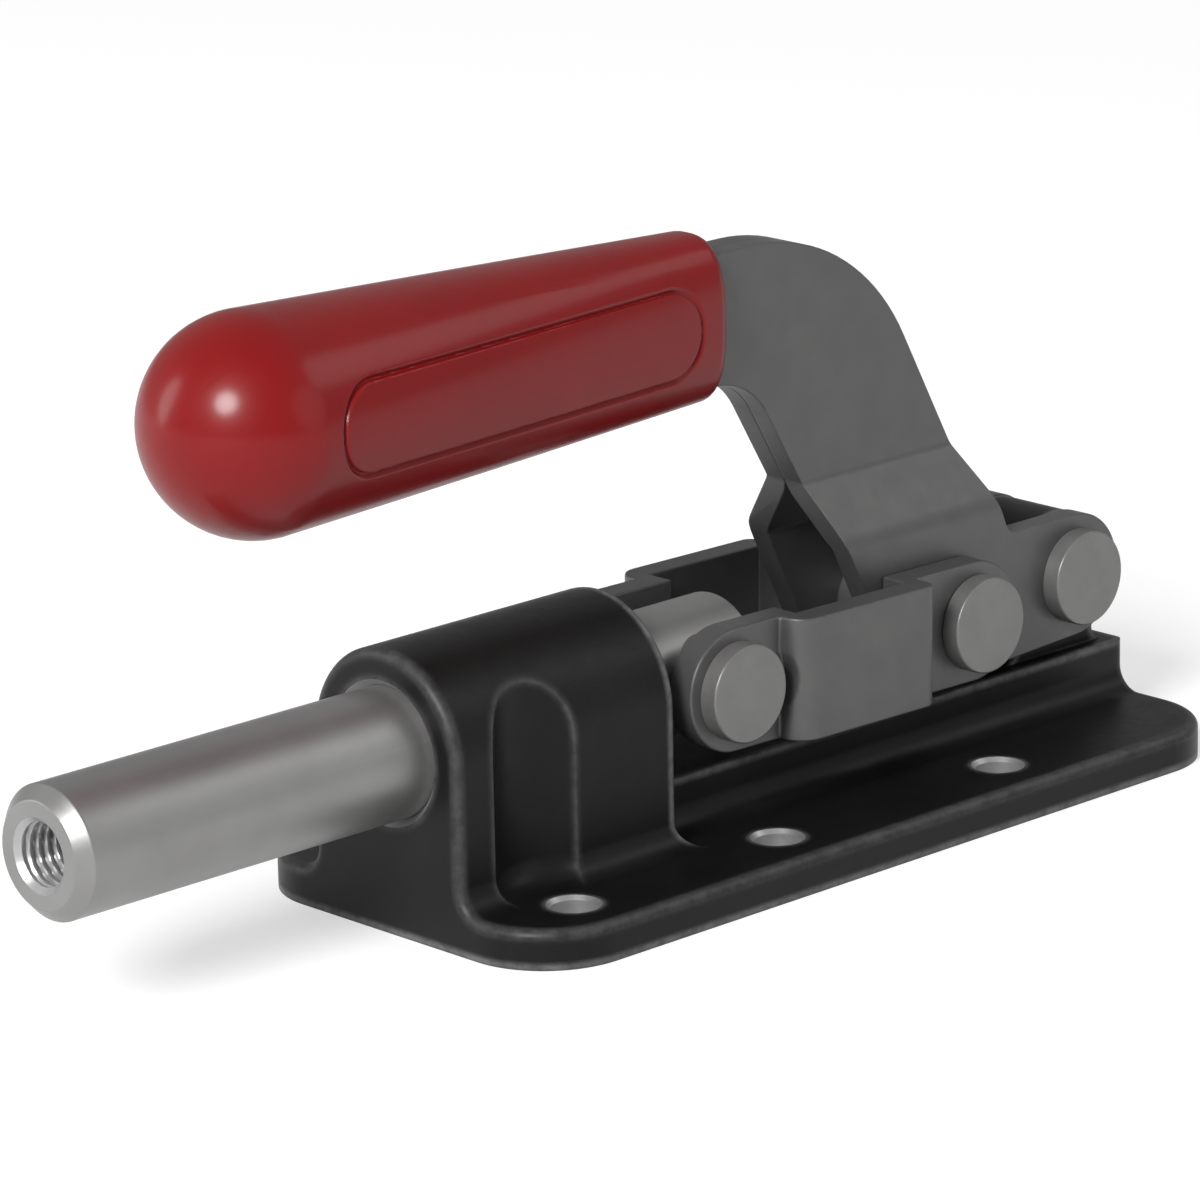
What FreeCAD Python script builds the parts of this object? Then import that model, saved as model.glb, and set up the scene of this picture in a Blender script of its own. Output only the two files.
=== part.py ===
import FreeCAD, Part
import os
import re
import Sketcher

# Push-pull toggle clamp with a straight-line plunger, in millimetres.
# Origin: underside of the base, at the centre of its four outer bolt holes.
# +X is the way the plunger pushes, +Z is up, and left is +Y.
# The clamp is drawn locked: plunger out, handle lying forward over it.

SIZES = [
    # Cast base
    ("base_width", 84.6, "width of the bolting flange"),
    ("flange_thickness", 7.7, "thickness of the bolting flange"),
    ("corner_radius", 18.0, "plan radius of the flange corners"),
    ("front_hole_inset", 19.5, "front bolt holes, from the front face"),
    ("front_hole_pitch", 53.7, "front to middle bolt holes"),
    ("rear_hole_pitch", 61.9, "middle to rear bolt holes"),
    ("hole_span", 59.4, "bolt holes, left row to right row"),
    ("bolt_hole_radius", 4.5, "bolt hole radius"),
    ("hole_rim_chamfer", 0.8, "chamfer at the top of the bolt holes"),
    ("axis_height", 35.0, "plunger axis above the underside"),
    ("housing_length", 55.4, "length of the plunger housing"),
    ("housing_radius", 19.9, "outer radius of the plunger housing"),
    ("casting_rounding", 1.8, "rounding of the housing's front edge and the flange's top edge"),
    ("guide_clearance", 0.08, "radial play of the plunger in its housing"),
    ("mouth_chamfer", 1.3, "chamfer at the mouth of the housing bore"),
    ("casting_fillet", 5.0, "fillet from the flange up to the casting"),
    ("wrench_radius", 14.3, "wrench room round the front bolt holes"),
    ("rail_width", 25.0, "width of the rail behind the housing"),
    ("rail_height", 18.0, "height of the rail"),
    ("rail_end", 5.7, "end of the rail and the flange behind the tower"),
    ("tower_width", 17.5, "width of the pivot tower on the rail"),
    ("tower_radius", 12.3, "radius of the tower's top, about the pivot"),
    ("tower_back", 10.5, "flat back of the tower, behind the pivot"),
    ("tower_foot_fillet", 3.0, "fillets from the tower down to the rail"),
    # Linkage
    ("rear_pivot_inset", 175.6, "rear pivot, from the base's front face"),
    ("crank_length", 36.2, "rear pivot to middle pivot"),
    ("link_length", 66.9, "middle pivot to front pivot"),
    ("over_centre_drop", 0.9, "middle pivot below the line of the others"),
    ("side_clearance", 0.15, "side play between neighbouring plates"),
    ("pin_radius", 6.35, "radius of the pivot pins"),
    ("pin_clearance", 0.05, "radial play of a pin in its hole or bush"),
    ("head_radius", 9.65, "radius of the pin heads"),
    ("head_height", 4.0, "height of the pin heads"),
    ("head_chamfer", 0.4, "chamfer on the pin heads"),
    # Plunger
    ("plunger_radius", 12.7, "radius of the plunger"),
    ("plunger_reach", 154.4, "front pivot to the plunger's front face"),
    ("plunger_tail", 14.8, "front pivot to the plunger's tail end"),
    ("tail_chamfer", 1.5, "chamfer on the plunger's tail end"),
    ("nose_chamfer", 2.6, "chamfer on the plunger's nose"),
    ("thread_bore_radius", 6.0, "tapped bore in the nose, M14"),
    ("thread_depth", 32.0, "depth of the tapped bore"),
    ("thread_chamfer", 0.4, "chamfer at the tapped bore's mouth"),
    ("plunger_bush_radius", 9.0, "outer radius of the plunger's bush"),
    # Link plates
    ("link_thickness", 5.95, "thickness of the link plates"),
    ("link_half_height", 12.2, "half the height of the link plates"),
    ("link_offset", 5.9, "outward step of the link's middle"),
    ("step_rear_outside", 16.9, "rear step outside, from the middle pivot"),
    ("step_rear_inside", 20.5, "rear step inside, from the middle pivot"),
    ("step_front_inside", 50.7, "front step inside, from the middle pivot"),
    ("step_front_outside", 55.1, "front step outside, from the middle pivot"),
    ("crown_rounding", 5.2, "rounding of the step's front edge"),
    ("crown_rear_rounding", 3.0, "rounding of the step's rear edge"),
    ("spot_face_radius", 13.0, "spot face round the front pin head"),
    ("link_bush_radius", 8.4, "outer radius of the link bushes"),
    # Handle plates, measured from the rear pivot
    ("plate_thickness", 4.8, "thickness of the handle plates"),
    ("lobe_radius", 12.6, "plate radius round the rear pivot"),
    ("heel_reach", 19.6, "foot of the plate's rear edge"),
    ("waist_reach", 27.2, "plate's rear edge at the upper bend"),
    ("shoulder_reach", 53.7, "corner over the plate's rear edge"),
    ("toe_reach", 49.5, "plate's lower front corner"),
    ("toe_drop", 15.0, "plate's lower front corner, below the pivot"),
    ("shin_reach", 66.1, "plate's front edge at the lower bend"),
    ("throat_reach", 69.3, "plate's front edge at the upper bend"),
    ("crook_reach", 83.2, "corner under the grip"),
    ("tang_reach", 165.0, "end of the tang inside the grip"),
    ("tang_bottom", 54.8, "height of the tang's lower edge"),
    ("tang_top", 80.6, "height of the tang's upper edge"),
    ("bend_low", 19.6, "height of the lower bend"),
    ("bend_high", 31.2, "height of the upper bend"),
    ("bend_radius", 2.5, "inside radius of the bends"),
    ("shoulder_radius", 47.0, "radius of the shoulder"),
    ("crook_radius", 16.0, "radius under the grip"),
    ("toe_radius", 10.0, "radius of the lower front corner"),
    ("heel_radius", 3.0, "radius at the foot of the rear edge"),
    ("rivet_radius", 4.0, "radius of the handle rivets"),
    ("rear_rivet_reach", 112.0, "rear handle rivet"),
    ("front_rivet_reach", 147.0, "front handle rivet"),
    # Grip
    ("grip_rear_reach", 87.1, "rear end of the grip, from the rear pivot"),
    ("grip_height", 68.4, "grip axis above the rear pivot"),
    ("grip_length", 138.5, "length of the grip"),
    ("grip_ball_radius", 21.0, "radius of the grip's round end"),
    ("grip_rear_radius", 16.4, "radius of the grip's rear end"),
    ("grip_rim_rounding", 3.0, "rounding of the grip's rear rim"),
    # Bush in the tower, and the sleeve between the handle plates
    ("tower_bush_radius", 8.0, "outer radius of the tower's bush"),
    ("sleeve_radius", 9.5, "outer radius of the middle sleeve"),
]

# Places and levels worked out from the sizes above.
DERIVED = {
    "front_x": "front_hole_inset + (front_hole_pitch + rear_hole_pitch) / 2",
    "first_hole_x": "front_x - front_hole_inset",
    "second_hole_x": "first_hole_x - front_hole_pitch",
    "third_hole_x": "second_hole_x - rear_hole_pitch",
    "rear_pivot_x": "front_x - rear_pivot_inset",
    "rear_x": "rear_pivot_x - tower_back - rail_end",
    "middle_pivot_x": "rear_pivot_x + sqrt(crank_length ^ 2 - over_centre_drop ^ 2)",
    "middle_pivot_z": "axis_height - over_centre_drop",
    "front_pivot_x": "middle_pivot_x + sqrt(link_length ^ 2 - over_centre_drop ^ 2)",
    "plate_inner": "tower_width / 2 + side_clearance",
    "plate_outer": "plate_inner + plate_thickness",
    "link_inner": "plate_outer + side_clearance",
    "link_outer": "link_inner + link_thickness",
    "link_crown": "link_outer + link_offset",
    "bore_radius": "plunger_radius + guide_clearance",
    "pin_hole_radius": "pin_radius + pin_clearance",
    "bend_shift": "plate_thickness * tan(atan(plate_inner / (bend_high - bend_low)) / 2)",
}

LEFT = 1
RIGHT = -1
SIDES = {"left": LEFT, "right": RIGHT}
NEAR = 0.01

doc = FreeCAD.newDocument("toggle_clamp")
sheet = doc.addObject("Spreadsheet::Sheet", "Sizes")
for row, (alias, size, note) in enumerate(SIZES, start=1):
    sheet.set(f"A{row}", note)
    sheet.set(f"B{row}", str(size))
    sheet.setAlias(f"B{row}", alias)
doc.recompute()
CELLS = {alias for alias, size, note in SIZES}


def expand(text):
    """An expression in sheet cells, from one in plain size names."""
    def word(match):
        name = match.group(0)
        if name in DERIVED:
            return "(" + expand(DERIVED[name]) + ")"
        if name in CELLS:
            return "Sizes." + name
        return name
    return re.sub(r"[a-z][a-z_]*", word, text)


def value(text):
    """The number that an expression gives now."""
    return float(sheet.evalExpression(expand(text)))


def bind(item, name, text):
    item.setExpression(name, expand(text))


def new_body(label, x="0", y="0", z="0"):
    body = doc.addObject("PartDesign::Body", label)
    body.Label = label
    body.Placement.Base = FreeCAD.Vector(value(x), value(y), value(z))
    bind(body, ".Placement.Base.x", x)
    bind(body, ".Placement.Base.y", y)
    bind(body, ".Placement.Base.z", z)
    return body


def origin_item(body, role):
    return next(item for item in body.Origin.OriginFeatures if item.Role == role)


def new_sketch(body, name, plane, offset="0"):
    """A sketch on one of the body's own planes, moved along its normal."""
    sketch = body.newObject("Sketcher::SketchObject", name)
    sketch.AttachmentSupport = [(origin_item(body, plane), "")]
    sketch.MapMode = "FlatFace"
    bind(sketch, ".AttachmentOffset.Base.z", offset)
    return sketch


def fix(sketch, geometry, point, x, y):
    """Hold one point of a sketch at a place given by two expressions."""
    for kind, axis, text in (("DistanceX", -2, x), ("DistanceY", -1, y)):
        if text == "0":
            sketch.addConstraint(Sketcher.Constraint("PointOnObject", geometry, point, axis))
        else:
            number = sketch.addConstraint(
                Sketcher.Constraint(kind, -1, 1, geometry, point, value(text)))
            bind(sketch, f"Constraints[{number}]", text)


def join_ends(sketch, first, count):
    for index in range(count):
        after = first + (index + 1) % count
        sketch.addConstraint(Sketcher.Constraint("Coincident", first + index, 2, after, 1))


def polygon(sketch, points):
    """A closed chain of straight lines through points given as expressions."""
    first = sketch.GeometryCount
    places = [FreeCAD.Vector(value(x), value(y), 0) for x, y in points]
    for index, place in enumerate(places):
        sketch.addGeometry(Part.LineSegment(place, places[(index + 1) % len(places)]))
    join_ends(sketch, first, len(points))
    for index, (x, y) in enumerate(points):
        fix(sketch, first + index, 1, x, y)


def arc_and_lines(sketch, points, through):
    """A closed chain: an arc from the first point to the second, then straight lines."""
    first = sketch.GeometryCount
    places = [FreeCAD.Vector(value(x), value(y), 0) for x, y in points]
    sketch.addGeometry(Part.Arc(places[0], through, places[1]))
    for index in range(1, len(places)):
        sketch.addGeometry(Part.LineSegment(places[index], places[(index + 1) % len(places)]))
    join_ends(sketch, first, len(points))
    for index, (x, y) in enumerate(points):
        fix(sketch, first + index, 1, x, y)
    return first


def rectangle(sketch, x_low, x_high, y_low, y_high):
    polygon(sketch, [(x_low, y_low), (x_high, y_low), (x_high, y_high), (x_low, y_high)])


def circle(sketch, x, y, radius):
    centre = FreeCAD.Vector(value(x), value(y), 0)
    index = sketch.addGeometry(Part.Circle(centre, FreeCAD.Vector(0, 0, 1), value(radius)))
    fix(sketch, index, 3, x, y)
    number = sketch.addConstraint(Sketcher.Constraint("Radius", index, value(radius)))
    bind(sketch, f"Constraints[{number}]", radius)


def finish_feature(body, feature):
    body.Tip = feature
    doc.recompute()
    if not feature.isValid():
        raise ValueError(f"{feature.Name} has failed")
    return feature


def pad(body, sketch, length, symmetric=False, backward=False):
    feature = body.newObject("PartDesign::Pad", sketch.Name + "_pad")
    feature.Profile = sketch
    bind(feature, "Length", length)
    feature.SideType = "Symmetric" if symmetric else "One side"
    feature.Reversed = backward
    sketch.Visibility = False
    return finish_feature(body, feature)


def cut(body, sketch, length=None, symmetric=False, backward=False):
    """A pocket that has to take material away."""
    before = body.Shape.Volume
    feature = body.newObject("PartDesign::Pocket", sketch.Name + "_cut")
    feature.Profile = sketch
    feature.SideType = "Symmetric" if symmetric else "One side"
    if length is None:
        feature.Type = "ThroughAll"
    else:
        bind(feature, "Length", length)
    feature.Reversed = backward
    sketch.Visibility = False
    finish_feature(body, feature)
    if body.Shape.Volume > before - NEAR:
        raise ValueError(f"{feature.Name} cuts nothing")
    return feature


def turned(body, sketch, axis):
    feature = body.newObject("PartDesign::Revolution", sketch.Name + "_turned")
    feature.Profile = sketch
    feature.ReferenceAxis = (origin_item(body, axis), [""])
    feature.Angle = 360
    sketch.Visibility = False
    return finish_feature(body, feature)


def edges_where(shape, test):
    """Names of the edges whose points all pass a test."""
    names = []
    for number, edge in enumerate(shape.Edges, start=1):
        if edge.Degenerated:
            continue
        points = edge.discretize(5)
        if all(test(point) for point in points):
            names.append(f"Edge{number}")
    return names


def dress(body, kind, size, test, label):
    """A fillet or chamfer on the edges of the body that pass a test."""
    base = body.Tip
    names = edges_where(base.Shape, test)
    if not names:
        raise ValueError(f"{label} finds no edge")
    feature = body.newObject("PartDesign::" + kind, label)
    feature.Base = (base, names)
    bind(feature, "Radius" if kind == "Fillet" else "Size", size)
    return finish_feature(body, feature)


def close(a, b):
    return abs(a - b) < NEAR


def along_y(x, z):
    """Test for a straight edge along Y at a place in the XZ plane."""
    def test(point):
        return close(point.x, value(x)) and close(point.z, value(z))
    return test


def make_base():
    body = new_body("base")
    flange = new_sketch(body, "flange", "XY_Plane")
    rectangle(flange, "rear_x", "front_x", "-base_width / 2", "base_width / 2")
    pad(body, flange, "flange_thickness")
    half_width = value("base_width / 2")
    dress(body, "Fillet", "corner_radius",
          lambda point: close(abs(point.y), half_width)
          and (close(point.x, value("front_x")) or close(point.x, value("rear_x"))),
          "flange_corners")

    wall = new_sketch(body, "housing_wall", "YZ_Plane", "front_x")
    rectangle(wall, "-housing_radius", "housing_radius", "0", "axis_height")
    pad(body, wall, "housing_length", backward=True)
    barrel = new_sketch(body, "housing_barrel", "YZ_Plane", "front_x")
    circle(barrel, "0", "axis_height", "housing_radius")
    pad(body, barrel, "housing_length", backward=True)

    rail = new_sketch(body, "rail", "YZ_Plane", "rear_x")
    rectangle(rail, "-rail_width / 2", "rail_width / 2", "0", "rail_height")
    pad(body, rail, "front_x - housing_length / 2 - rear_x")

    tower = new_sketch(body, "tower", "XZ_Plane")
    tower_points = [
        ("rear_pivot_x + tower_radius", "axis_height"),
        ("rear_pivot_x - tower_back", "axis_height + sqrt(tower_radius ^ 2 - tower_back ^ 2)"),
        ("rear_pivot_x - tower_back", "0"),
        ("rear_pivot_x + tower_radius", "0"),
    ]
    tower_top = FreeCAD.Vector(value("rear_pivot_x"), value("axis_height + tower_radius"), 0)
    crown = arc_and_lines(tower, tower_points, tower_top)
    level = tower.addConstraint(Sketcher.Constraint("DistanceY", -1, 1, crown, 3, value("axis_height")))
    bind(tower, f"Constraints[{level}]", "axis_height")
    pad(body, tower, "tower_width", symmetric=True)

    room = new_sketch(body, "wrench_room", "XY_Plane", "flange_thickness")
    circle(room, "first_hole_x", "hole_span / 2", "wrench_radius")
    circle(room, "first_hole_x", "-hole_span / 2", "wrench_radius")
    cut(body, room, "axis_height + housing_radius", backward=True)

    top = value("flange_thickness")
    rail_side = value("rail_width / 2")
    housing_side = value("housing_radius")
    front = value("front_x")
    tower_ends = (value("rear_pivot_x - tower_back"), value("rear_pivot_x + tower_radius"))

    def casting_foot(point):
        return (close(point.z, top) and abs(point.y) < housing_side + NEAR
                and abs(point.y) > rail_side - NEAR)
    dress(body, "Fillet", "casting_fillet", casting_foot, "casting_foot")

    def tower_foot(point):
        over_rail = close(point.z, value("rail_height")) and abs(point.y) < rail_side - NEAR
        return over_rail and any(close(point.x, end) for end in tower_ends)
    dress(body, "Fillet", "tower_foot_fillet", tower_foot, "tower_foot")

    def front_edge(point):
        across = (point.y ** 2 + (point.z - value("axis_height")) ** 2) ** 0.5
        upright = close(abs(point.y), housing_side) and point.z > top + NEAR
        return close(point.x, front) and (upright or close(across, housing_side))
    dress(body, "Fillet", "casting_rounding", front_edge, "casting_edges")

    bore = new_sketch(body, "guide_bore", "YZ_Plane", "front_x")
    circle(bore, "0", "axis_height", "bore_radius")
    cut(body, bore, "housing_length")

    def mouth(point):
        across = (point.y ** 2 + (point.z - value("axis_height")) ** 2) ** 0.5
        return close(point.x, front) and close(across, value("bore_radius"))
    dress(body, "Chamfer", "mouth_chamfer", mouth, "guide_mouth")

    pivot = new_sketch(body, "pivot_bore", "XZ_Plane")
    circle(pivot, "rear_pivot_x", "axis_height", "tower_bush_radius")
    cut(body, pivot, symmetric=True)

    holes = new_sketch(body, "bolt_holes", "XY_Plane")
    for place in ("first_hole_x", "second_hole_x", "third_hole_x"):
        circle(holes, place, "hole_span / 2", "bolt_hole_radius")
    drilled = cut(body, holes, "flange_thickness", backward=True)
    mirrored = body.newObject("PartDesign::Mirrored", "bolt_holes_right")
    mirrored.Originals = [drilled]
    mirrored.MirrorPlane = (origin_item(body, "XZ_Plane"), [""])
    finish_feature(body, mirrored)

    def hole_rim(point):
        nearest = min(((point.x - value(place)) ** 2 + (abs(point.y) - value("hole_span / 2")) ** 2) ** 0.5
                      for place in ("first_hole_x", "second_hole_x", "third_hole_x"))
        return close(point.z, top) and close(nearest, value("bolt_hole_radius"))
    dress(body, "Chamfer", "hole_rim_chamfer", hole_rim, "bolt_hole_rims")
    return body


def make_plunger():
    body = new_body("plunger", x="front_pivot_x", z="axis_height")
    rod = new_sketch(body, "rod", "XZ_Plane")
    polygon(rod, [
        ("-plunger_tail", "0"),
        ("plunger_reach - thread_depth", "0"),
        ("plunger_reach - thread_depth", "thread_bore_radius"),
        ("plunger_reach - thread_chamfer", "thread_bore_radius"),
        ("plunger_reach", "thread_bore_radius + thread_chamfer"),
        ("plunger_reach", "plunger_radius - nose_chamfer"),
        ("plunger_reach - nose_chamfer", "plunger_radius"),
        ("tail_chamfer - plunger_tail", "plunger_radius"),
        ("-plunger_tail", "plunger_radius - tail_chamfer"),
    ])
    turned(body, rod, "X_Axis")
    cross = new_sketch(body, "cross_bore", "XZ_Plane")
    circle(cross, "0", "0", "plunger_bush_radius")
    cut(body, cross, symmetric=True)
    return body


def make_tube(label, x, y, z, outer, inner, length):
    """A plain sleeve along Y about its own origin."""
    body = new_body(label, x, y, z)
    ring = new_sketch(body, label + "_ring", "XZ_Plane")
    circle(ring, "0", "0", outer)
    circle(ring, "0", "0", inner)
    pad(body, ring, length, symmetric=True)
    return body


def make_rod(label, x, z, radius, length):
    """A plain round pin along Y about its own origin."""
    body = new_body(label, x, "0", z)
    disc = new_sketch(body, label + "_disc", "XZ_Plane")
    circle(disc, "0", "0", radius)
    pad(body, disc, length, symmetric=True)
    return body


def make_headed_pin(label, x, z, seat):
    """A pin with a head on each end, its heads seated at +-seat in Y."""
    body = new_body(label, x, "0", z)
    half = new_sketch(body, label + "_half", "XY_Plane")
    end = f"{seat} + head_height"
    polygon(half, [
        ("0", f"-({end})"),
        ("head_radius - head_chamfer", f"-({end})"),
        ("head_radius", f"-({end} - head_chamfer)"),
        ("head_radius", f"-({seat})"),
        ("pin_radius", f"-({seat})"),
        ("pin_radius", seat),
        ("head_radius", seat),
        ("head_radius", f"{end} - head_chamfer"),
        ("head_radius - head_chamfer", end),
        ("0", end),
    ])
    turned(body, half, "Y_Axis")
    return body


def make_pin_end(name, side):
    """One end of the front pin: its head and its length in the link plate."""
    body = new_body("front_pin_end_" + name, x="front_pivot_x", z="axis_height")
    half = new_sketch(body, f"front_pin_end_{name}_half", "XY_Plane")
    end = "link_outer + head_height"
    polygon(half, [
        ("0", f"{side} * (link_inner)"),
        ("pin_radius", f"{side} * (link_inner)"),
        ("pin_radius", f"{side} * (link_outer)"),
        ("head_radius", f"{side} * (link_outer)"),
        ("head_radius", f"{side} * ({end} - head_chamfer)"),
        ("head_radius - head_chamfer", f"{side} * ({end})"),
        ("0", f"{side} * ({end})"),
    ])
    turned(body, half, "Y_Axis")
    return body


def side_sketch(body, name, level, side):
    """A sketch in an XZ plane at a level measured outward on one side."""
    return new_sketch(body, name, "XZ_Plane", f"{-side} * ({level})")


def make_link(name, side):
    """A forged link plate whose middle steps outward past the rear pin's head."""
    body = new_body("link_" + name, x="middle_pivot_x", z="middle_pivot_z")
    body.Placement.Rotation = FreeCAD.Rotation(FreeCAD.Vector(0, -1, 0), 1)
    bind(body, ".Placement.Rotation.Angle", "asin(over_centre_drop / link_length)")
    outward = side == LEFT

    bar = side_sketch(body, f"link_{name}_bar", "link_inner", side)
    rectangle(bar, "0", "link_length", "-link_half_height", "link_half_height")
    pad(body, bar, "link_thickness", backward=outward)
    for end, place in (("nose", "link_length"), ("tail", "0")):
        eye = side_sketch(body, f"link_{name}_{end}", "link_inner", side)
        circle(eye, place, "0", "link_half_height")
        pad(body, eye, "link_thickness", backward=outward)

    crown = side_sketch(body, f"link_{name}_crown", "link_outer", side)
    rectangle(crown, "step_rear_outside", "step_front_outside", "-link_half_height", "link_half_height")
    pad(body, crown, "link_offset", backward=outward)
    relief = side_sketch(body, f"link_{name}_relief", "link_inner", side)
    rectangle(relief, "step_rear_inside", "step_front_inside",
              "-2 * link_half_height", "2 * link_half_height")
    cut(body, relief, "link_offset", backward=not outward)

    def crown_edge(step):
        return lambda point: close(point.x, value(step)) and close(abs(point.y), value("link_crown"))
    dress(body, "Fillet", "crown_rounding", crown_edge("step_front_outside"), f"link_{name}_crown_front")
    dress(body, "Fillet", "crown_rear_rounding", crown_edge("step_rear_outside"), f"link_{name}_crown_rear")

    face = side_sketch(body, f"link_{name}_spot_face", "link_outer", side)
    circle(face, "link_length", "0", "spot_face_radius")
    cut(body, face, "link_offset", backward=not outward)
    holes = side_sketch(body, f"link_{name}_holes", "link_inner", side)
    circle(holes, "link_length", "0", "pin_hole_radius")
    circle(holes, "0", "0", "link_bush_radius")
    cut(body, holes, "link_thickness", backward=not outward)
    return body


def make_handle_plate(name, side):
    """A bent side plate of the handle, drawn about the rear pivot."""
    body = new_body("handle_plate_" + name, x="rear_pivot_x", z="axis_height")
    strip = new_sketch(body, f"plate_{name}_strip", "YZ_Plane")
    polygon(strip, [
        ("0", "tang_top"),
        ("0", "bend_high - bend_shift"),
        (f"{side} * (plate_inner)", "bend_low - bend_shift"),
        (f"{side} * (plate_inner)", "-(lobe_radius + toe_drop)"),
        (f"{side} * (plate_outer)", "-(lobe_radius + toe_drop)"),
        (f"{side} * (plate_outer)", "bend_low"),
        (f"{side} * plate_thickness", "bend_high"),
        (f"{side} * plate_thickness", "tang_top"),
    ])
    pad(body, strip, "2 * tang_reach", symmetric=True)

    def crease(y, z):
        return lambda point: close(abs(point.y), value(y)) and close(point.z, value(z))
    inner_creases = (crease("plate_thickness", "bend_high"), crease("plate_inner", "bend_low - bend_shift"))
    outer_creases = (crease("0", "bend_high - bend_shift"), crease("plate_outer", "bend_low"))
    dress(body, "Fillet", "bend_radius", lambda point: any(test(point) for test in inner_creases),
          f"plate_{name}_inner_bends")
    dress(body, "Fillet", "bend_radius + plate_thickness",
          lambda point: any(test(point) for test in outer_creases), f"plate_{name}_outer_bends")

    blank = new_sketch(body, f"plate_{name}_outline", "XZ_Plane")
    rectangle(blank, "-2 * tang_reach", "2 * tang_reach",
              "-2 * (lobe_radius + toe_drop)", "tang_top + lobe_radius")
    points = [
        ("0", "lobe_radius"),
        ("0", "-lobe_radius"),
        ("toe_reach", "-toe_drop"),
        ("shin_reach", "bend_low"),
        ("throat_reach", "bend_high"),
        ("crook_reach", "tang_bottom"),
        ("tang_reach", "tang_bottom"),
        ("tang_reach", "tang_top"),
        ("shoulder_reach", "tang_top"),
        ("waist_reach", "bend_high"),
        ("heel_reach", "lobe_radius"),
    ]
    lobe = arc_and_lines(blank, points, FreeCAD.Vector(-value("lobe_radius"), 0, 0))
    blank.addConstraint(Sketcher.Constraint("PointOnObject", lobe, 3, -2))
    cut(body, blank, symmetric=True)

    corners = (
        ("shoulder", "shoulder_reach", "tang_top", "shoulder_radius"),
        ("crook", "crook_reach", "tang_bottom", "crook_radius"),
        ("toe", "toe_reach", "-toe_drop", "toe_radius"),
        ("heel", "heel_reach", "lobe_radius", "heel_radius"),
    )
    for corner, x, z, radius in corners:
        dress(body, "Fillet", radius, along_y(x, z), f"plate_{name}_{corner}")

    pins = new_sketch(body, f"plate_{name}_pin_holes", "XZ_Plane")
    circle(pins, "0", "0", "pin_hole_radius")
    circle(pins, "middle_pivot_x - rear_pivot_x", "-over_centre_drop", "pin_hole_radius")
    for place in ("rear_rivet_reach", "front_rivet_reach"):
        circle(pins, place, "(tang_bottom + tang_top) / 2", "rivet_radius")
    cut(body, pins, symmetric=True)
    return body


def make_grip():
    body = new_body("grip", x="rear_pivot_x + grip_rear_reach", z="axis_height + grip_height")
    half = new_sketch(body, "grip_half", "XZ_Plane")
    points = [
        ("grip_length", "0"),
        ("grip_length - grip_ball_radius", "grip_ball_radius"),
        ("0", "grip_rear_radius"),
        ("0", "0"),
    ]
    tip, shoulder = (FreeCAD.Vector(value(x), value(z), 0) for x, z in points[:2])
    centre = FreeCAD.Vector(shoulder.x, 0, 0)
    outward = (tip + shoulder).multiply(0.5) - centre
    outward.normalize()
    ball = arc_and_lines(half, points, centre + outward.multiply(shoulder.y))
    half.addConstraint(Sketcher.Constraint("PointOnObject", ball, 3, -1))
    turned(body, half, "X_Axis")

    def rim(point):
        across = (point.y ** 2 + point.z ** 2) ** 0.5
        return close(point.x, 0) and close(across, value("grip_rear_radius"))
    dress(body, "Fillet", "grip_rim_rounding", rim, "grip_rim")

    slot = new_sketch(body, "tang_slot", "YZ_Plane")
    rectangle(slot, "-plate_thickness", "plate_thickness",
              "tang_bottom - grip_height", "tang_top - grip_height")
    cut(body, slot, "tang_reach - grip_rear_reach", backward=True)
    return body


parts = [make_base(), make_plunger(), make_grip()]
for name, side in SIDES.items():
    parts.append(make_handle_plate(name, side))
    parts.append(make_link(name, side))
    parts.append(make_pin_end(name, side))
    parts.append(make_tube(
        "link_bush_" + name, "middle_pivot_x", f"{side} * (link_inner + link_thickness / 2)",
        "middle_pivot_z", "link_bush_radius", "pin_hole_radius", "link_thickness"))
parts.append(make_tube(
    "rear_bush", "rear_pivot_x", "0", "axis_height",
    "tower_bush_radius", "pin_hole_radius", "tower_width"))
parts.append(make_headed_pin("rear_pin", "rear_pivot_x", "axis_height", "plate_outer"))
parts.append(make_headed_pin(
    "middle_pin", "middle_pivot_x", "middle_pivot_z", "(link_outer + side_clearance)"))
parts.append(make_tube(
    "middle_sleeve", "middle_pivot_x", "0", "middle_pivot_z",
    "sleeve_radius", "pin_hole_radius", "2 * plate_inner"))
parts.append(make_tube(
    "plunger_bush", "front_pivot_x", "0", "axis_height",
    "plunger_bush_radius", "pin_hole_radius", "2 * (link_inner - side_clearance)"))
parts.append(make_rod("front_pin", "front_pivot_x", "axis_height", "pin_radius",
                      "2 * (link_inner - side_clearance)"))
for label, reach in (("handle_rivet_rear", "rear_rivet_reach"), ("handle_rivet_front", "front_rivet_reach")):
    parts.append(make_rod(label, f"rear_pivot_x + {reach}", "axis_height + (tang_bottom + tang_top) / 2",
                          "rivet_radius", "2 * plate_thickness"))
doc.recompute()

for part in parts:
    if part.Shape.isNull() or not part.Shape.isValid() or len(part.Shape.Solids) != 1:
        raise ValueError(f"{part.Label} has no sound solid")

os.makedirs("parts", exist_ok=True)
for part in parts:
    part.Shape.exportStep(os.path.join("parts", part.Label + ".step"))
print(len(parts), "parts written")
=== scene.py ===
from math import atan2, ceil, cos, hypot, pi, radians, sin, tan

import bmesh
import bpy
from mathutils import Matrix, Vector


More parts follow.
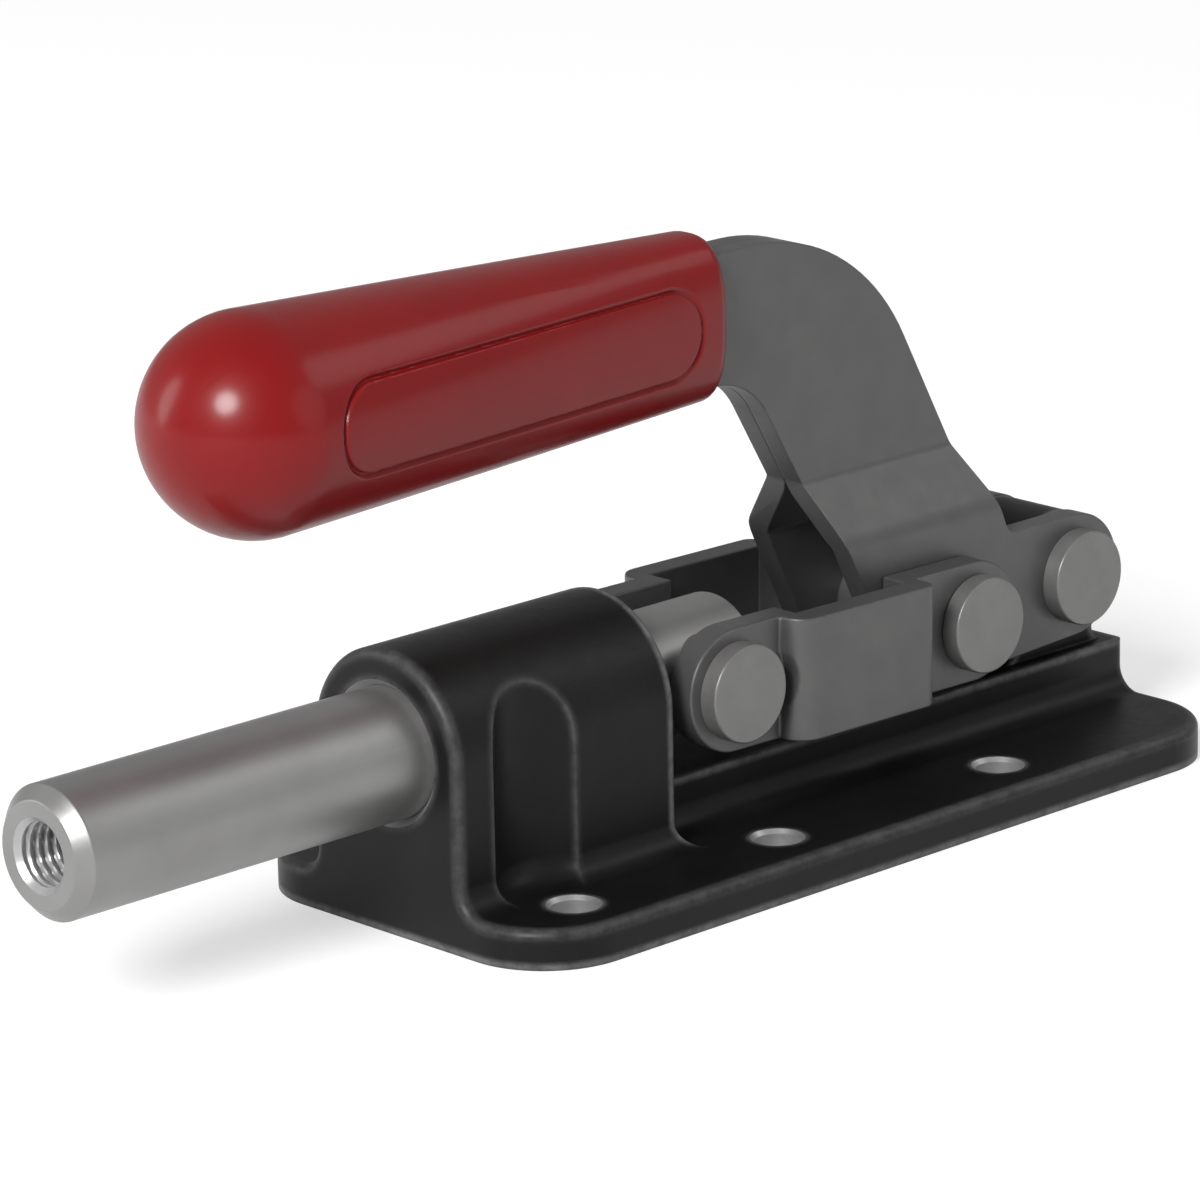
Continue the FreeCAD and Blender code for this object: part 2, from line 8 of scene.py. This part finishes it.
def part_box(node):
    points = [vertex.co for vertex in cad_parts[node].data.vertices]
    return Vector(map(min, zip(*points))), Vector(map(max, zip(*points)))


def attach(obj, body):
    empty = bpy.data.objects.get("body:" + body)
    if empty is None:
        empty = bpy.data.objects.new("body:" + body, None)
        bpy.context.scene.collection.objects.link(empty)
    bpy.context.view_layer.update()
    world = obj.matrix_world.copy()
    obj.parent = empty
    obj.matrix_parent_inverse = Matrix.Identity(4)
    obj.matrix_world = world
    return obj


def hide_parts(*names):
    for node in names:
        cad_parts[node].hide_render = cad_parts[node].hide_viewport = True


# A push-pull toggle clamp on a pale floor, in metres.
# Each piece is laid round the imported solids, which give all places and main sizes.

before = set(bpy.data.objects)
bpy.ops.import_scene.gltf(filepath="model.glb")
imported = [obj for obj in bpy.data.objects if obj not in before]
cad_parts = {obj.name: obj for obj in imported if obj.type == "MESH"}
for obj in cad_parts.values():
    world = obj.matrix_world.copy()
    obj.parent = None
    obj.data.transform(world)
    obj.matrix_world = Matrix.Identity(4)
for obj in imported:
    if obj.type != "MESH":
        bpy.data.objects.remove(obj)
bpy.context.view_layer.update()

MM = 0.001


def middle_of(node):
    low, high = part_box(node)
    return (low + high) / 2


def half_of(node):
    low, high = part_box(node)
    return (high - low) / 2


# Places and sizes read from the solids
REAR = middle_of("rear_pin")
MIDDLE = middle_of("middle_pin")
FRONT = middle_of("front_pin")
AXIS_Z = FRONT.z
GRIP_LOW, GRIP_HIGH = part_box("grip")
PLUNGER_LOW, PLUNGER_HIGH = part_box("plunger")
HEAD_RADIUS = half_of("rear_pin").z
PIN_RADIUS = half_of("front_pin").z
PLUNGER_RADIUS = half_of("plunger").z
GRIP_RADIUS = half_of("grip").z
GRIP_Z = middle_of("grip").z

# Pins: sizes that the boxes don't give
HEAD_HEIGHT = 4.0 * MM
HEAD_EDGE = 0.45 * MM
SEAT_EDGE = 0.1 * MM

# Plunger, its screw thread and the guide that it runs in
GUIDE_RADIUS = 12.78 * MM
GUIDE_MOUTH = 1.3 * MM
NOSE_CHAMFER = 2.6 * MM
NOSE_EDGE = 0.5 * MM
TAIL_CHAMFER = 1.5 * MM
TAIL_EDGE = 0.4 * MM
SHOULDER_EDGE = 0.6 * MM
THREAD_RADIUS = 6.0 * MM
THREAD_LENGTH = 32.0 * MM
THREAD_PITCH = 2.0 * MM
THREAD_HEIGHT = 0.85 * MM
THREAD_EDGE = 0.15 * MM
THREAD_LEAD_IN = 0.25 * MM
TAPPING_STEP = 0.1 * MM
DRILL_POINT = 2.4 * THREAD_PITCH

# The thread's profile: how steep its flanks are, and how far apart for a flat crest
FLANK_SLOPE = 2.4
CREST_FLAT = 0.7

# Bolt holes, bare metal up to their mouths
BOLT_Y = 29.7 * MM
BOLT_XS = (57.8 * MM, 4.1 * MM, -57.8 * MM)
BOLT_MOUTH = 5.3 * MM

# How far a face's normal leans along an axis before the face counts as facing that way
LEVEL_FACING = 0.9
END_FACING = 0.8

# Grip: it flattens towards its rear end, which stands a little ahead of the solid's
GRIP_REAR_RADIUS = 16.4 * MM
GRIP_RIM = 3.0 * MM
GRIP_INSET = 5.8 * MM
GRIP_REAR_WIDTH = 0.57
GRIP_REAR_SQUARENESS = 0.7
GRIP_FLATTENING_POWER = 1.3

# Outline engraved on both sides of the grip
PANEL_START = 2.6 * MM
PANEL_END = 102.3 * MM
PANEL_HALF_HEIGHT = 8.9 * MM
PANEL_RISE = 0.1 * MM
GROOVE_WIDTH = 1.5 * MM
GROOVE_DEPTH = 0.8 * MM

# Broken edges of the plates
PLATE_BEVEL = 0.35 * MM
LINK_BEVEL = 0.5 * MM

# Fineness of the meshes
WELD = 1e-6
SHARP = radians(28)
FLAT = radians(0.5)
PIN_SIDES = 96
PLUNGER_SIDES = 112
STEPS_PER_PITCH = 14
DOME_STEPS = 36
RIM_STEPS = 8
GROOVE_ROW = 0.2 * MM
STRAIGHT_ROW = 2.5 * MM
FACE_ROW = 3.0 * MM
FINE_TURN = radians(0.55)
FINE_TURNS = 100
COARSE_TURN = radians(5)

# Floor, backdrop and lamps
BASE_FLOOR = -0.1 * MM
FLOOR_REACH = 12.0
PAPER = 0.62
PAPER_LIFT = 0.5
MIRRORED_SHARE = 0.8
WORLD_LIGHT = 0.33
LAMP_DISTANCE = 4.0
LAMP_TARGET = Vector((0.02, 0, 0.05))

# Camera, fitted to the photograph's edges and circles
CAMERA_PLACE = (0.81817, 0.83279, 0.38369)
CAMERA_AZIMUTH = radians(136.26)
CAMERA_ELEVATION = radians(16.03)
CAMERA_ROLL = radians(-1.1)
CAMERA_LENS = 189.705
CAMERA_SENSOR = 36.0
CAMERA_REACH = 50.0


class Graph:
    """A node material under construction."""

    def __init__(self, name):
        self.material = bpy.data.materials.new(name)
        self.material.use_nodes = True
        self.tree = self.material.node_tree
        self.tree.nodes.clear()
        self.place = self.add("ShaderNodeTexCoord").outputs["Object"]

    def add(self, kind, inputs=None, **settings):
        node = self.tree.nodes.new(kind)
        for name, setting in settings.items():
            setattr(node, name, setting)
        for name, source in (inputs or {}).items():
            if isinstance(source, bpy.types.NodeSocket):
                self.tree.links.new(source, node.inputs[name])
            else:
                node.inputs[name].default_value = source
        return node

    def moved(self, scale=(1, 1, 1), location=(0, 0, 0)):
        inputs = {"Vector": self.place, "Scale": scale, "Location": location}
        return self.add("ShaderNodeMapping", inputs).outputs[0]

    def noise(self, scale, detail=2.0, roughness=0.5, place=None):
        inputs = {"Vector": place or self.place, "Scale": scale, "Detail": detail, "Roughness": roughness}
        return self.add("ShaderNodeTexNoise", inputs).outputs[0]

    def spread(self, source, low, high, to_low=0.0, to_high=1.0):
        inputs = {"Value": source, "From Min": low, "From Max": high, "To Min": to_low, "To Max": to_high}
        return self.add("ShaderNodeMapRange", inputs).outputs[0]

    def maths(self, operation, first, second=0.0):
        return self.add("ShaderNodeMath", {0: first, 1: second}, operation=operation).outputs[0]

    def mixed(self, factor, first, second):
        return self.add("ShaderNodeMix", {0: factor, 6: first, 7: second}, data_type="RGBA").outputs[2]

    def rounded(self, radius):
        return self.add("ShaderNodeBevel", {"Radius": radius}, samples=6).outputs[0]

    def bumped(self, height, distance, strength, normal=None):
        inputs = {"Height": height, "Distance": distance, "Strength": strength}
        if normal:
            inputs["Normal"] = normal
        return self.add("ShaderNodeBump", inputs).outputs[0]

    def edges(self, soft_normal):
        """1 along edges and 0 on open faces."""
        plain = self.add("ShaderNodeNewGeometry").outputs["Normal"]
        along = self.add("ShaderNodeVectorMath", {0: soft_normal, 1: plain}, operation="DOT_PRODUCT")
        return self.spread(self.maths("SUBTRACT", 1.0, along.outputs["Value"]), 0.02, 0.22)

    def ridges(self, reach):
        """1 on tight convex roundings and 0 on open faces."""
        inside = self.add("ShaderNodeAmbientOcclusion", {"Distance": reach}, samples=8, inside=True)
        return self.spread(inside.outputs["AO"], 0.99, 0.75)

    def finish(self, **inputs):
        named = {name.replace("_", " "): source for name, source in inputs.items()}
        shader = self.add("ShaderNodeBsdfPrincipled", named)
        self.add("ShaderNodeOutputMaterial", {"Surface": shader.outputs[0]})
        return self.material


def grey(level, warmth=0.0):
    return (level * (1 + warmth), level, level * (1 - warmth), 1.0)


def black_casting():
    """Satin black coating over a fine cast skin, lightened a little along the sharp edges as a painted
    highlight.
    """
    graph = Graph("black_casting")
    soft = graph.rounded(0.9 * MM)
    skin = graph.maths("MULTIPLY", graph.noise(1500, 4, 0.6), 0.5)
    swell = graph.maths("MULTIPLY", graph.noise(210, 3, 0.5), 0.5)
    normal = graph.bumped(graph.maths("ADD", skin, swell), 0.05 * MM, 0.4, soft)
    patches = graph.noise(320, 5, 0.65)
    # Painted highlight: the coat is lightened towards grey along tight convex roundings, in broken
    # patches.
    painted_edge_highlight = graph.maths("MULTIPLY", graph.ridges(1.9 * MM), graph.spread(patches, 0.35, 0.6, 0.5, 1.0))
    tone = graph.spread(graph.noise(60, 3, 0.5), 0.3, 0.7)
    coat = graph.mixed(tone, grey(0.0045), grey(0.0065, 0.02))
    return graph.finish(
        Base_Color=graph.mixed(painted_edge_highlight, coat, grey(0.14)),
        Normal=normal,
        Specular_IOR_Level=0.22,
        Roughness=graph.spread(patches, 0.3, 0.7, 0.36, 0.44))


def machined_iron():
    """Bare cut metal with fine tool lines."""
    graph = Graph("machined_iron")
    lines = graph.noise(1.0, 2, 0.5, graph.moved((2800, 60, 2800)))
    tone = graph.spread(graph.noise(90, 3), 0.3, 0.7)
    return graph.finish(
        Base_Color=graph.mixed(tone, grey(0.42), grey(0.5)),
        Metallic=0.7,
        Normal=graph.bumped(lines, 0.02 * MM, 0.6),
        Roughness=graph.spread(lines, 0.3, 0.7, 0.32, 0.44))


def ground_steel():
    """Ground and plated rod: lines round its axis, with faint marks along it from sliding."""
    graph = Graph("ground_steel")
    soft = graph.rounded(0.25 * MM)
    lines = graph.noise(1.0, 3, 0.6, graph.moved((5200, 90, 90)))
    slides = graph.noise(1.0, 2, 0.5, graph.moved((9, 900, 900)))
    tone = graph.spread(graph.noise(70, 3, 0.5), 0.3, 0.7)
    colour = graph.mixed(tone, grey(0.28, 0.01), grey(0.31, 0.008))
    colour = graph.mixed(graph.spread(slides, 0.66, 0.8, 0.0, 0.16), colour, grey(0.4))
    height = graph.maths("ADD", lines, graph.maths("MULTIPLY", slides, 0.4))
    return graph.finish(
        Base_Color=colour,
        Metallic=0.7,
        Normal=graph.bumped(height, 0.012 * MM, 0.8, soft),
        Roughness=graph.spread(lines, 0.3, 0.7, 0.36, 0.44))


def plated_sheet(name, level, grain):
    """Formed and plated steel: a fine even grain, and broken edges lightened as a painted highlight."""
    graph = Graph(name)
    soft = graph.rounded(0.45 * MM)
    cloud = graph.noise(140, 3, 0.5)
    patches = graph.noise(420, 4, 0.6)
    # Painted highlight: the broken edges are lightened towards a paler grey, in broken patches.
    painted_sheet_highlight = graph.maths("MULTIPLY", graph.edges(soft), graph.spread(patches, 0.42, 0.62))
    colour = graph.mixed(graph.spread(cloud, 0.3, 0.7), grey(level * 0.95), grey(level * 1.05, 0.01))
    return graph.finish(
        Base_Color=graph.mixed(painted_sheet_highlight, colour, grey(level * 1.6)),
        Metallic=0.6,
        Normal=graph.bumped(graph.noise(grain, 4, 0.6), 0.012 * MM, 0.5, soft),
        Roughness=graph.spread(patches, 0.3, 0.7, 0.4, 0.46))


def turned_steel(name, centre, ring_pitch=0.42 * MM):
    """Turned and plated steel with lathe rings on its faces round its own centre."""
    graph = Graph(name)
    soft = graph.rounded(0.25 * MM)
    local = graph.moved((1, 0, 1), (-centre.x, 0, -centre.z))
    radius = graph.add("ShaderNodeVectorMath", {0: local}, operation="LENGTH").outputs["Value"]
    turns = graph.maths("MULTIPLY", radius, 2 * pi / ring_pitch)
    wander = graph.maths("MULTIPLY", graph.noise(240, 2), 2.0)
    rings = graph.maths("SINE", graph.maths("ADD", turns, wander))
    cloud = graph.spread(graph.noise(180, 3, 0.5), 0.3, 0.7)
    return graph.finish(
        Base_Color=graph.mixed(cloud, grey(0.19, 0.01), grey(0.22, 0.012)),
        Metallic=0.5,
        Normal=graph.bumped(rings, 0.004 * MM, 0.5, soft),
        Roughness=graph.spread(cloud, 0.0, 1.0, 0.38, 0.44))


def red_vinyl():
    """Satin moulded red vinyl with a soft ripple and a few dull rubs."""
    graph = Graph("red_grip")
    ripple = graph.maths("MULTIPLY", graph.noise(95, 3, 0.5), 0.9)
    fine = graph.maths("MULTIPLY", graph.noise(1500, 2, 0.5), 0.06)
    tone = graph.spread(graph.noise(30, 4, 0.6), 0.3, 0.7)
    rubs = graph.noise(210, 5, 0.7)
    return graph.finish(
        Base_Color=graph.mixed(tone, (0.19, 0.003, 0.004, 1), (0.225, 0.004, 0.005, 1)),
        Roughness=graph.spread(rubs, 0.5, 0.75, 0.4, 0.48),
        Normal=graph.bumped(graph.maths("ADD", ripple, fine), 0.1 * MM, 0.3),
        Specular_IOR_Level=0.15,
        Coat_Weight=0.35,
        Coat_Roughness=0.2)


def floor_paper():
    """Pale paper, lifted to white for the camera and, a little less, in what metal mirrors."""
    graph = Graph("floor")
    path = graph.add("ShaderNodeLightPath").outputs
    beyond = graph.maths("MAXIMUM", path["Is Glossy Ray"], path["Is Transmission Ray"])
    mirrored = graph.maths("MULTIPLY", beyond, MIRRORED_SHARE)
    seen = graph.maths("MAXIMUM", mirrored, path["Is Camera Ray"])
    paper = graph.add("ShaderNodeBsdfDiffuse", {"Color": grey(PAPER)})
    strength = graph.maths("MULTIPLY", seen, PAPER_LIFT)
    lift = graph.add("ShaderNodeEmission", {"Color": grey(1.0), "Strength": strength})
    both = graph.add("ShaderNodeAddShader", {0: paper.outputs[0], 1: lift.outputs[0]})
    graph.add("ShaderNodeOutputMaterial", {"Surface": both.outputs[0]})
    return graph.material


def smooth(mesh, materials):
    mesh.materials.clear()
    for material in materials:
        mesh.materials.append(material)
    for face in mesh.polygons:
        face.use_smooth = True
    mesh.set_sharp_from_angle(angle=SHARP)


def placed(mesh, name, body, node):
    """An object for a mesh, riding on a body in place of a CAD node."""
    piece = bpy.data.objects.new(name, mesh)
    bpy.context.scene.collection.objects.link(piece)
    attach(piece, body)
    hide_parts(node)
    return piece


def settled(mesh, name, body, node):
    """A placed mesh whose broad faces stay flat beside its narrow ones."""
    piece = placed(mesh, name, body, node)
    even = piece.modifiers.new("even_normals", "WEIGHTED_NORMAL")
    even.keep_sharp = True
    even.weight = 80


def skin(node, body, slot, material, bevel):
    """A smooth-shaded copy of a CAD node with its sharp edges broken."""
    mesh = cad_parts[node].data.copy()
    mesh.attributes.remove(mesh.attributes["custom_normal"])
    cage = bmesh.new()
    cage.from_mesh(mesh)
    bmesh.ops.remove_doubles(cage, verts=cage.verts, dist=WELD)
    bmesh.ops.dissolve_limit(cage, angle_limit=FLAT, verts=cage.verts, edges=cage.edges)
    edges = [edge for edge in cage.edges if edge.is_manifold and edge.calc_face_angle() > SHARP]
    bmesh.ops.bevel(
        cage, geom=edges, offset=bevel, segments=2, profile=0.5, affect="EDGES", clamp_overlap=True)
    cage.to_mesh(mesh)
    cage.free()
    smooth(mesh, [material])
    settled(mesh, node + "_skin", body, node)


def softened(corners, steps=4):
    """A polyline through corners (along, radius, rounding), with the corners rounded."""
    points = []
    for index, (along, radius, rounding) in enumerate(corners):
        here = Vector((along, radius))
        if not rounding:
            points.append(here)
            continue
        before = (Vector(corners[index - 1][:2]) - here).normalized()
        after = (Vector(corners[index + 1][:2]) - here).normalized()
        half_angle = before.angle(after) / 2
        centre = here + (before + after).normalized() * (rounding / sin(half_angle))
        start = here + before * (rounding / tan(half_angle)) - centre
        end = here + after * (rounding / tan(half_angle)) - centre
        turn = atan2(start.cross(end), start.dot(end))
        for step in range(steps + 1):
            points.append(centre + Matrix.Rotation(turn * step / steps, 2) @ start)
    return points


def finer(points, longest):
    """A polyline with no step longer than a given length."""
    fine = [points[0]]
    for one, other in zip(points, points[1:]):
        count = ceil((other - one).length / longest)
        fine += [one.lerp(other, step / count) for step in range(1, count + 1)]
    return fine


def around(count):
    return [2 * pi * index / count for index in range(count)]


def lathe(name, points, axis, centre, angles, offset=None):
    """A closed body turned about an axis through a centre, from (along, radius) points.

    The offset, where given, adds to the radius at (along, radius, angle).
    """
    cage = bmesh.new()
    rings = []
    for along, radius in points:
        ring = []
        for angle in angles if radius > WELD else angles[:1]:
            reach = radius + (offset(along, radius, angle) if offset and radius > WELD else 0.0)
            u, v = reach * cos(angle), reach * sin(angle)
            spot = Vector((along, u, v)) if axis == "X" else Vector((u, along, v))
            ring.append(cage.verts.new(spot + centre))
        rings.append(ring)
    for one, other in zip(rings, rings[1:]):
        for index in range(len(angles)):
            after = index + 1
            corners = (one[index % len(one)], one[after % len(one)],
                       other[after % len(other)], other[index % len(other)])
            cage.faces.new(dict.fromkeys(corners))
    bmesh.ops.recalc_face_normals(cage, faces=cage.faces)
    mesh = bpy.data.meshes.new(name)
    cage.to_mesh(mesh)
    cage.free()
    return mesh


def headed_pin(node, body, centre, material):
    """A pin with a flat head on each end."""
    end = half_of(node).y
    seat = end - HEAD_HEIGHT
    half = [
        (end, 0, 0),
        (end, HEAD_RADIUS, HEAD_EDGE),
        (seat, HEAD_RADIUS, SEAT_EDGE),
        (seat, PIN_RADIUS, 0)]
    corners = half + [(-along, radius, rounding) for along, radius, rounding in reversed(half)]
    mesh = lathe(node, softened(corners), "Y", Vector((centre.x, 0, centre.z)), around(PIN_SIDES))
    smooth(mesh, [material])
    settled(mesh, node + "_turned", body, node)


def pin_end(node, side, material):
    """The head and the link's share of the front pin on one side."""
    low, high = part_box(node)
    inner, outer = sorted((abs(low.y), abs(high.y)))
    seat = outer - HEAD_HEIGHT
    corners = [
        (inner, 0, 0),
        (inner, PIN_RADIUS, SEAT_EDGE),
        (seat, PIN_RADIUS, 0),
        (seat, HEAD_RADIUS, SEAT_EDGE),
        (outer, HEAD_RADIUS, HEAD_EDGE),
        (outer, 0, 0)]
    points = [Vector((side * along, radius)) for along, radius in softened(corners)]
    mesh = lathe(node, points, "Y", Vector((FRONT.x, 0, FRONT.z)), around(PIN_SIDES))
    smooth(mesh, [material])
    settled(mesh, node + "_turned", "link", node)


def make_plunger(steel, bore_metal):
    """The plunger, with its screw thread cut into the nose."""
    nose, tail = PLUNGER_HIGH.x, PLUNGER_LOW.x
    lead = THREAD_HEIGHT + THREAD_LEAD_IN
    start = nose - lead
    end = nose - THREAD_LENGTH + THREAD_PITCH
    outside = softened([
        (tail, 0, 0),
        (tail, PLUNGER_RADIUS - TAIL_CHAMFER, TAIL_EDGE),
        (tail + TAIL_CHAMFER, PLUNGER_RADIUS, SHOULDER_EDGE),
        (nose - NOSE_CHAMFER, PLUNGER_RADIUS, SHOULDER_EDGE),
        (nose, PLUNGER_RADIUS - NOSE_CHAMFER, NOSE_EDGE),
        (nose, THREAD_RADIUS + lead, THREAD_EDGE),
        (start, THREAD_RADIUS, 0)])
    wall = finer([outside[-1], Vector((end, THREAD_RADIUS))], THREAD_PITCH / STEPS_PER_PITCH)
    blind = [Vector((end - THREAD_PITCH, THREAD_RADIUS - TAPPING_STEP)), Vector((end - DRILL_POINT, 0))]

    def thread(along, radius, angle):
        if abs(radius - THREAD_RADIUS) > WELD or not end < along < start:
            return 0.0
        phase = (along / THREAD_PITCH - angle / (2 * pi)) % 1.0
        groove = min(1.0, max(0.0, FLANK_SLOPE * abs(2 * phase - 1) - CREST_FLAT))
        run_in = min(1.0, (start - along) / THREAD_PITCH, (along - end) / THREAD_PITCH)
        return THREAD_HEIGHT * groove * run_in

    points = outside[:-1] + wall + blind
    mesh = lathe("plunger", points, "X", Vector((0, 0, AXIS_Z)), around(PLUNGER_SIDES), thread)
    smooth(mesh, [steel, bore_metal])
    bore_mouth = THREAD_RADIUS + lead - TAPPING_STEP
    for face in mesh.polygons:
        reach = hypot(face.center.y, face.center.z - AXIS_Z)
        in_bore = reach < bore_mouth and face.center.x > tail + THREAD_LENGTH
        face.material_index = 1 if in_bore else 0
    settled(mesh, "plunger_turned", "plunger", "plunger")


def grip_points(rear, ball):
    """The grip's profile from its rear end to its tip, with fine rows where the outline bends."""
    body = softened([(rear, 0, 0), (rear, GRIP_REAR_RADIUS, GRIP_RIM), (ball, GRIP_RADIUS, 0)], RIM_STEPS)
    taper_start, taper_end = body[-2:]

    def on_taper(along):
        return taper_start.lerp(taper_end, (along - taper_start.x) / (ball - taper_start.x))

    margin = 2 * GROOVE_WIDTH
    bend = PANEL_HALF_HEIGHT + margin
    near_end = finer([on_taper(PANEL_START - margin), on_taper(PANEL_START + bend)], GROOVE_ROW)
    straight_run = finer([near_end[-1], on_taper(PANEL_END - bend)], STRAIGHT_ROW)
    far_end = finer([straight_run[-1], on_taper(PANEL_END + margin)], GROOVE_ROW)
    turns = [pi / 2 * step / DOME_STEPS for step in range(DOME_STEPS + 1)]
    dome = [Vector((ball + GRIP_RADIUS * sin(turn), GRIP_RADIUS * cos(turn))) for turn in turns]
    dome[-1].y = 0.0
    rear_face = finer(body[:2], FACE_ROW)
    return rear_face + body[2:-1] + near_end + straight_run[1:] + far_end[1:] + dome


def grip_angles():
    """Angles round the grip, fine over the engraved sides and coarse above and below."""
    side = [FINE_TURN * index for index in range(-FINE_TURNS, FINE_TURNS + 1)]
    gap = pi - 2 * FINE_TURNS * FINE_TURN
    count = ceil(gap / COARSE_TURN)
    over = [FINE_TURNS * FINE_TURN + gap * index / count for index in range(1, count)]
    half = side + over
    return half + [angle + pi for angle in half]


def make_grip(vinyl):
    """The grip, with the bare outline engraved on both of its sides."""
    rear, tip = GRIP_LOW.x + GRIP_INSET, GRIP_HIGH.x
    ball = tip - GRIP_RADIUS
    middle = (PANEL_START + PANEL_END) / 2
    straight = (PANEL_END - PANEL_START) / 2 - PANEL_HALF_HEIGHT

    def relief(along, radius, angle):
        share_back = min(1.0, max(0.0, (ball - along) / (ball - rear)))
        flat = share_back ** GRIP_FLATTENING_POWER
        half_width = radius * (1 - flat * (1 - GRIP_REAR_WIDTH))
        power = 2 + flat * GRIP_REAR_SQUARENESS
        corner = (abs(cos(angle)) / half_width) ** power + (abs(sin(angle)) / radius) ** power
        reach = corner ** (-1 / power)
        height = reach * sin(angle) - PANEL_RISE
        from_line = hypot(max(0.0, abs(along - middle) - straight), height) - PANEL_HALF_HEIGHT
        share = abs(from_line) / (GROOVE_WIDTH / 2)
        groove = GROOVE_DEPTH * (0.5 + 0.5 * cos(pi * share)) if share < 1 else 0.0
        return reach - radius - groove

    mesh = lathe("grip", grip_points(rear, ball), "X", Vector((0, 0, GRIP_Z)), grip_angles(), relief)
    smooth(mesh, [vinyl])
    settled(mesh, "grip_moulded", "handle", "grip")


def make_base(coat, cut_metal):
    """The casting, with bare metal where it is drilled, bored and faced underneath."""
    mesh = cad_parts["base"].data.copy()
    mesh.materials.clear()
    mesh.materials.append(coat)
    mesh.materials.append(cut_metal)
    for face in mesh.polygons:
        spot, normal = face.center, face.normal
        near_bolt = any(hypot(spot.x - x, abs(spot.y) - BOLT_Y) < BOLT_MOUTH for x in BOLT_XS)
        in_hole = near_bolt and abs(normal.z) < LEVEL_FACING
        near_guide = hypot(spot.y, spot.z - AXIS_Z) < GUIDE_RADIUS + GUIDE_MOUTH
        in_guide = near_guide and abs(normal.x) < END_FACING and spot.x > FRONT.x
        underneath = normal.z < -LEVEL_FACING
        face.material_index = 1 if in_hole or in_guide or underneath else 0
    placed(mesh, "base_skin", "base", "base")


def area_light(name, azimuth, elevation, width, height, level):
    """A soft oval light, level 1 of which shows white paper that faces it as white.

    Azimuth runs from +X towards +Y. Width and height are those of a light a metre away.
    """
    lamp = bpy.data.lights.new(name, "AREA")
    lamp.shape = "ELLIPSE"
    lamp.size = width * LAMP_DISTANCE
    lamp.size_y = height * LAMP_DISTANCE
    lamp.energy = level * (pi * LAMP_DISTANCE) ** 2
    item = bpy.data.objects.new(name, lamp)
    bpy.context.scene.collection.objects.link(item)
    turn, rise = radians(azimuth), radians(elevation)
    direction = Vector((cos(turn) * cos(rise), sin(turn) * cos(rise), sin(rise)))
    item.location = LAMP_TARGET + direction * LAMP_DISTANCE
    item.rotation_euler = direction.to_track_quat("Z", "Y").to_euler()
    item.visible_camera = False


def make_floor():
    corners = [(-1, -1), (1, -1), (1, 1), (-1, 1)]
    spots = [(x * FLOOR_REACH, y * FLOOR_REACH, BASE_FLOOR) for x, y in corners]
    mesh = bpy.data.meshes.new("floor")
    mesh.from_pydata(spots, [], [(0, 1, 2, 3)])
    mesh.materials.append(floor_paper())
    floor = bpy.data.objects.new("floor", mesh)
    bpy.context.scene.collection.objects.link(floor)


def make_world():
    world = bpy.data.worlds.new("studio")
    world.use_nodes = True
    bpy.context.scene.world = world
    background = world.node_tree.nodes["Background"]
    background.inputs["Color"].default_value = grey(1.0)
    background.inputs["Strength"].default_value = WORLD_LIGHT


def make_lamps():
    area_light("key", azimuth=20, elevation=33, width=0.36, height=0.36, level=1.0)
    area_light("left", azimuth=-50, elevation=16, width=0.3, height=0.6, level=0.2)
    area_light("right", azimuth=112, elevation=20, width=0.67, height=0.67, level=0.08)
    area_light("back", azimuth=147, elevation=37, width=0.5, height=0.42, level=0.075)


def make_camera():
    """The photograph's viewpoint."""
    level = cos(CAMERA_ELEVATION)
    back = Vector((sin(CAMERA_AZIMUTH) * level, -cos(CAMERA_AZIMUTH) * level, sin(CAMERA_ELEVATION)))
    right = Vector((0, 0, 1)).cross(back).normalized()
    up = back.cross(right)
    turned_right = right * cos(CAMERA_ROLL) + up * sin(CAMERA_ROLL)
    turned_up = up * cos(CAMERA_ROLL) - right * sin(CAMERA_ROLL)
    axes = Matrix((turned_right, turned_up, back)).transposed().to_4x4()
    camera = bpy.data.objects.new("camera", bpy.data.cameras.new("camera"))
    camera.data.lens = CAMERA_LENS
    camera.data.sensor_width = CAMERA_SENSOR
    camera.data.clip_end = CAMERA_REACH
    camera.matrix_world = Matrix.Translation(CAMERA_PLACE) @ axes
    bpy.context.scene.collection.objects.link(camera)
    bpy.context.scene.camera = camera


make_camera()

coat = black_casting()
cut_metal = machined_iron()
rod_steel = ground_steel()
link_steel = plated_sheet("link_steel", level=0.125, grain=1500)
plate_steel = plated_sheet("plate_steel", level=0.12, grain=900)
bush_steel = plated_sheet("bush_steel", level=0.15, grain=1200)

make_base(coat, cut_metal)
make_plunger(rod_steel, cut_metal)
make_grip(red_vinyl())
for side, name in ((1, "left"), (-1, "right")):
    skin("handle_plate_" + name, "handle", "plate_steel", plate_steel, PLATE_BEVEL)
    skin("link_" + name, "link", "link_steel", link_steel, LINK_BEVEL)
    pin_end("front_pin_end_" + name, side, turned_steel("front_pin_end_" + name, FRONT))
headed_pin("rear_pin", "handle", REAR, turned_steel("rear_pin_steel", REAR))
headed_pin("middle_pin", "handle", MIDDLE, turned_steel("middle_pin_steel", MIDDLE))

# The bushes, the sleeve, the rivets and the middle of the front pin keep their CAD shapes
for node in ("rear_bush", "middle_sleeve", "link_bush_left", "link_bush_right", "plunger_bush",
             "front_pin", "handle_rivet_front", "handle_rivet_rear"):
    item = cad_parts[node]
    item.data.materials.clear()
    item.data.materials.append(bush_steel)

make_floor()
make_world()
make_lamps()
bpy.context.scene.view_settings.view_transform = "Standard"
